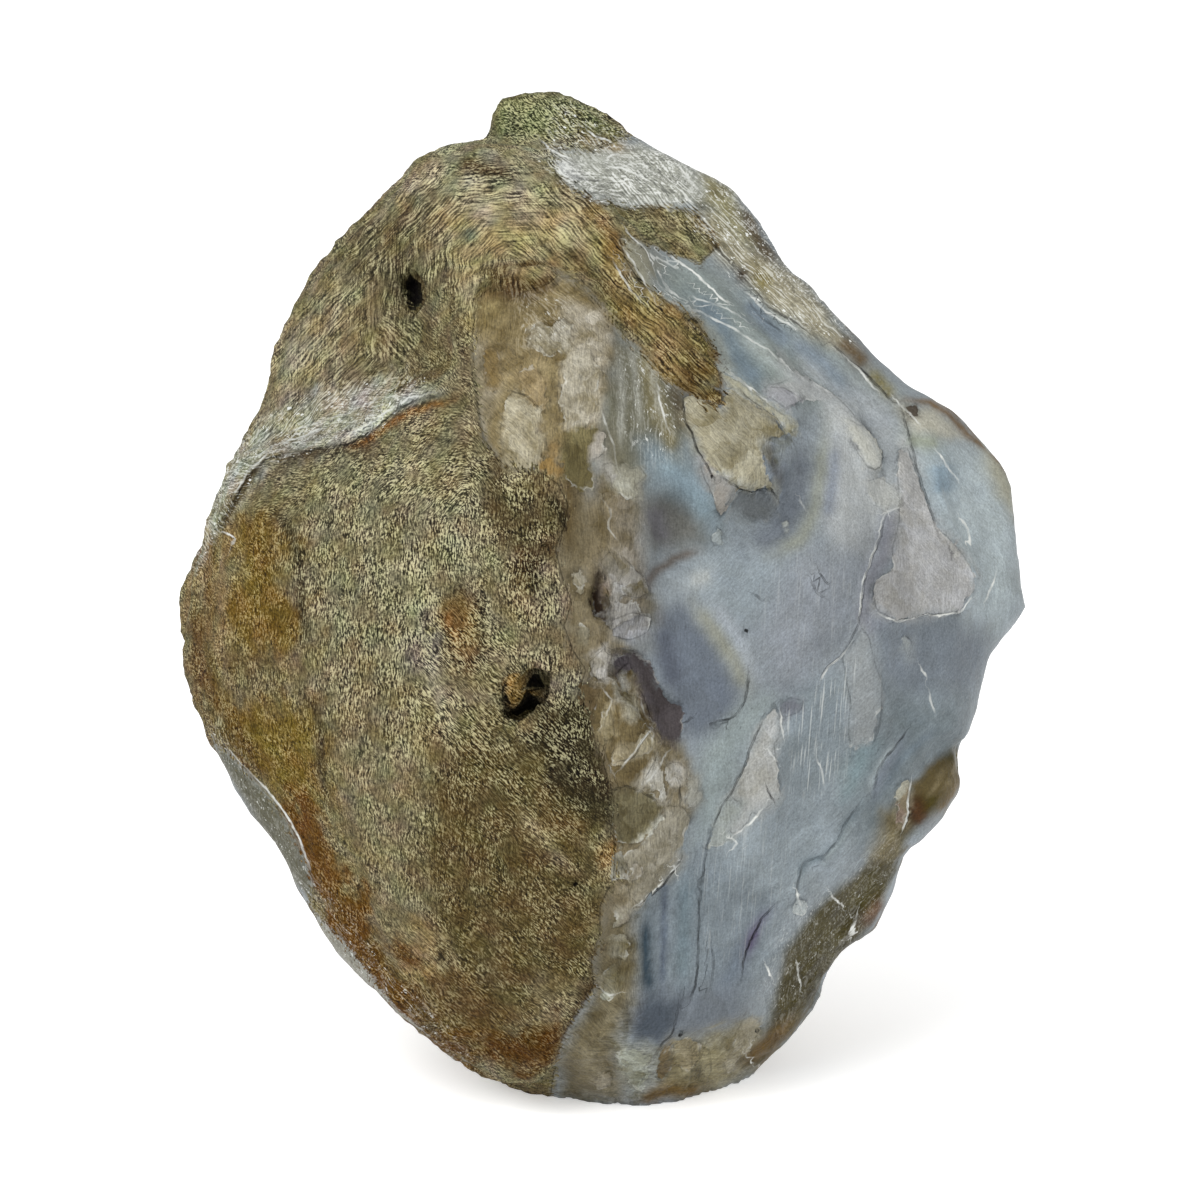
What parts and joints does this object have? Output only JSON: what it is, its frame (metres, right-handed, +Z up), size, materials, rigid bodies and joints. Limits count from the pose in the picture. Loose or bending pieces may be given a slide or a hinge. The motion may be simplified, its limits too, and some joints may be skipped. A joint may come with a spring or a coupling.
{
  "type": "rough blue lace agate nodule",
  "caption": "Rough palm-sized agate nodule broken open down one side, with rind left on the other; stands on a small flat spot as a display stone.",
  "frame": {"origin": "the middle of the stone's footprint box, on the plane it stands on", "axes": "+Z up and along the stone's greatest length, -Y out of its broken show side, +X to the right as that side is seen, where the bare chalcedony is"},
  "size_m": [0.0844, 0.067, 0.0965],
  "materials": {
    "agate": "satin"
  },
  "bodies": {
    "root": {"stone": "agate"}
  },
  "joints": []
}
